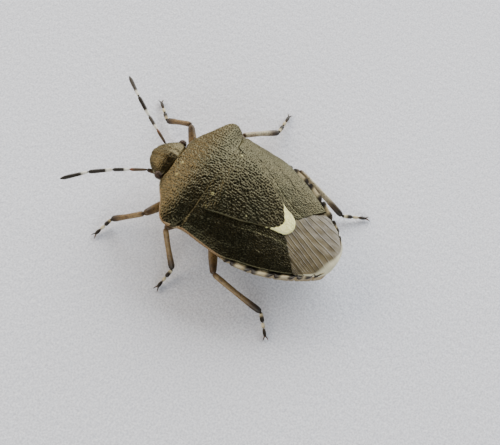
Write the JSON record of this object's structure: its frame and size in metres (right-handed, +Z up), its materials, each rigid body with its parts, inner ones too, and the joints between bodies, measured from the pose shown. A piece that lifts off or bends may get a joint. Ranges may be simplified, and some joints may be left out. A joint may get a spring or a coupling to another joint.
{
  "type": "shield bug",
  "caption": "Life-size standing shield bug with a broad shield-shaped back, folded wings, jointed legs and banded feelers.",
  "frame": {"origin": "on the ground, under the middle of the overall box of body, legs and feelers", "axes": "-Y is ahead of the head, +X is the bug's left, +Z is up, and z = 0 is the plane of the soles"},
  "size_m": [0.012, 0.0134, 0.0034],
  "materials": {
    "shell": "satin, densely pitted, dark olive bronze",
    "membrane": "thin smoky grey-brown wing with raised veins",
    "belly": "satin, pale tan with a black and cream rim",
    "leg": "satin, yellow-brown with dark speckles",
    "foot": "satin, black with a cream middle joint",
    "feeler": "satin, black with cream bases",
    "eye": "glossy, finely faceted"
  },
  "bodies": {
    "root": {"head": "shell", "pronotum": "shell", "scutellum": "shell", "corium_left": "shell", "corium_right": "shell", "membrane": "membrane", "thorax": "belly", "abdomen": "belly", "beak": "leg", "eye_left": "eye", "eye_right": "eye", "antenna_left_1": "leg", "antenna_left_2": "leg", "antenna_left_3": "feeler", "antenna_left_4": "feeler", "antenna_left_5": "feeler", "antenna_right_1": "leg", "antenna_right_2": "leg", "antenna_right_3": "feeler", "antenna_right_4": "feeler", "antenna_right_5": "feeler", "leg_front_left_hip": "leg", "leg_front_left_femur": "leg", "leg_front_left_tibia": "leg", "leg_front_left_foot": "foot", "leg_front_right_hip": "leg", "leg_front_right_femur": "leg", "leg_front_right_tibia": "leg", "leg_front_right_foot": "foot", "leg_middle_left_hip": "leg", "leg_middle_left_femur": "leg", "leg_middle_left_tibia": "leg", "leg_middle_left_foot": "foot", "leg_middle_right_hip": "leg", "leg_middle_right_femur": "leg", "leg_middle_right_tibia": "leg", "leg_middle_right_foot": "foot", "leg_hind_left_hip": "leg", "leg_hind_left_femur": "leg", "leg_hind_left_tibia": "leg", "leg_hind_left_foot": "foot", "leg_hind_right_hip": "leg", "leg_hind_right_femur": "leg", "leg_hind_right_tibia": "leg", "leg_hind_right_foot": "foot"}
  },
  "joints": []
}
